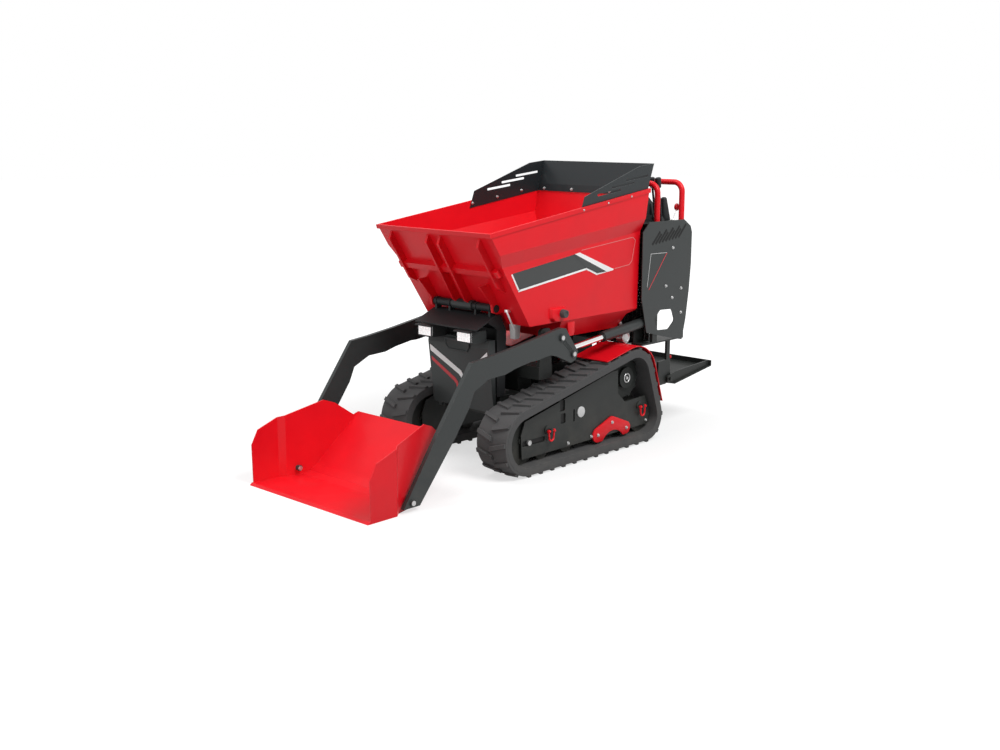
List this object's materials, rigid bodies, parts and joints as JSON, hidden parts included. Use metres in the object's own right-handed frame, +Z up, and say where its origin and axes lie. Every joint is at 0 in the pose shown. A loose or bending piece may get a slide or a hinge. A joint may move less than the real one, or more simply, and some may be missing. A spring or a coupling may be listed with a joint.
{
  "type": "tracked mini dumper",
  "caption": "Tracked mini dumper with a tipping hopper, a front self-loading shovel on side arms, and a folding rider platform.",
  "frame": {"origin": "on the ground under the middle of the whole machine", "axes": "+Z up, -Y towards the shovel, +X the machine's left side"},
  "size_m": [0.831, 2.47, 1.3727],
  "materials": {
    "track_rubber": "matte moulded rubber",
    "wheel_black": "satin",
    "sprocket_steel": "cast",
    "frame_black": "satin powder coat",
    "link_red": "gloss",
    "fender_red": "gloss",
    "arm_black": "satin powder coat",
    "panel_black": "satin powder coat",
    "board_black": "satin powder coat",
    "cylinder_black": "satin",
    "rod_chrome": "polished",
    "stand_black": "satin powder coat",
    "skip_red": "gloss",
    "shovel_red": "gloss",
    "hoop_red": "gloss",
    "engine_grey": "matte",
    "console_black": "matte",
    "lever_black": "matte",
    "platform_black": "satin powder coat",
    "hood_black": "satin",
    "lamp_clear": "clear lens"
  },
  "bodies": {
    "chassis": {"main_frame": "frame_black", "hinge_stand": "stand_black", "arm_saddle": "frame_black", "tower_frame": "frame_black", "front_hoop": "hoop_red", "rear_hoop": "hoop_red", "engine": "engine_grey", "console": "console_black", "levers": "lever_black", "platform_bracket": "frame_black", "tip_pivot": "frame_black", "track_left": "track_rubber", "track_right": "track_rubber", "wheels_left": "wheel_black", "wheels_right": "wheel_black", "sprocket_left": "sprocket_steel", "sprocket_right": "sprocket_steel", "track_frame_left": "frame_black", "track_frame_right": "frame_black", "bogie_link_left": "link_red", "bogie_link_right": "link_red", "tow_shackles_left": "link_red", "tow_shackles_right": "link_red", "fender_left": "fender_red", "fender_right": "fender_red", "tower_panel_left": "panel_black", "tower_panel_right": "panel_black"},
    "skip": {"skip_tub": "skip_red", "skip_front_ribs": "skip_red", "skip_rear_board": "board_black", "tip_ears": "skip_red", "skip_side_board_left": "board_black", "skip_side_board_right": "board_black"},
    "arms": {"arm_left": "arm_black", "arm_right": "arm_black"},
    "shovel": {"shovel": "shovel_red"},
    "hood": {"hood": "hood_black", "lamps": "lamp_clear"},
    "platform": {"platform": "platform_black"},
    "tip_barrel": {"tip_barrel": "cylinder_black"},
    "tip_rod": {"tip_rod": "rod_chrome"},
    "lift_barrel_left": {"lift_barrel_left": "cylinder_black"},
    "lift_rod_left": {"lift_rod_left": "rod_chrome"},
    "lift_barrel_right": {"lift_barrel_right": "cylinder_black"},
    "lift_rod_right": {"lift_rod_right": "rod_chrome"}
  },
  "joints": [
    {"name": "skip_tip", "type": "hinge", "parent": "chassis", "child": "skip", "pos_m": [0, -0.295, 0.745], "axis": [-1, 0, 0], "range_deg": [-75, 0]},
    {"name": "arm_lift", "type": "hinge", "parent": "chassis", "child": "arms", "pos_m": [0, -0.074, 0.609], "axis": [-1, 0, 0], "range_deg": [0, 110]},
    {"name": "shovel_tilt", "type": "hinge", "parent": "arms", "child": "shovel", "pos_m": [0, -0.999, 0.04], "axis": [-1, 0, 0], "range_deg": [-30, 30]},
    {"name": "hood_open", "type": "hinge", "parent": "chassis", "child": "hood", "pos_m": [0, -0.282, 0.252], "axis": [1, 0, 0], "range_deg": [0, 50]},
    {"name": "platform_fold", "type": "hinge", "parent": "chassis", "child": "platform", "pos_m": [0, 0.885, 0.262], "axis": [1, 0, 0], "range_deg": [0, 80]},
    {"name": "tip_barrel_swing", "type": "hinge", "parent": "chassis", "child": "tip_barrel", "pos_m": [0, -0.135, 0.283], "axis": [1, 0, 0], "range_deg": [-0.5, 1.03]},
    {"name": "tip_rod_slide", "type": "slide", "parent": "tip_barrel", "child": "tip_rod", "axis": [0, 0.0304, 0.9995], "range_m": [-0.001, 0.2638]},
    {"name": "lift_barrel_swing_left", "type": "hinge", "parent": "chassis", "child": "lift_barrel_left", "pos_m": [0, 0.625, 0.59], "axis": [1, 0, 0], "range_deg": [-4.55, 0.5]},
    {"name": "lift_rod_slide_left", "type": "slide", "parent": "lift_barrel_left", "child": "lift_rod_left", "axis": [0, -0.9943, -0.1064], "range_m": [-0.001, 0.1879]},
    {"name": "lift_barrel_swing_right", "type": "hinge", "parent": "chassis", "child": "lift_barrel_right", "pos_m": [0, 0.625, 0.59], "axis": [1, 0, 0], "range_deg": [-4.55, 0.5]},
    {"name": "lift_rod_slide_right", "type": "slide", "parent": "lift_barrel_right", "child": "lift_rod_right", "axis": [0, -0.9943, -0.1064], "range_m": [-0.001, 0.1879]}
  ],
  "couplings": [
    {"joint": "tip_barrel_swing", "follows": "skip_tip", "ratio": -0.007121},
    {"joint": "tip_rod_slide", "follows": "skip_tip", "m_per_rad": -0.20074},
    {"joint": "lift_barrel_swing_left", "follows": "arm_lift", "ratio": -0.036805},
    {"joint": "lift_rod_slide_left", "follows": "arm_lift", "m_per_rad": 0.097361},
    {"joint": "lift_barrel_swing_right", "follows": "arm_lift", "ratio": -0.036805},
    {"joint": "lift_rod_slide_right", "follows": "arm_lift", "m_per_rad": 0.097361}
  ]
}
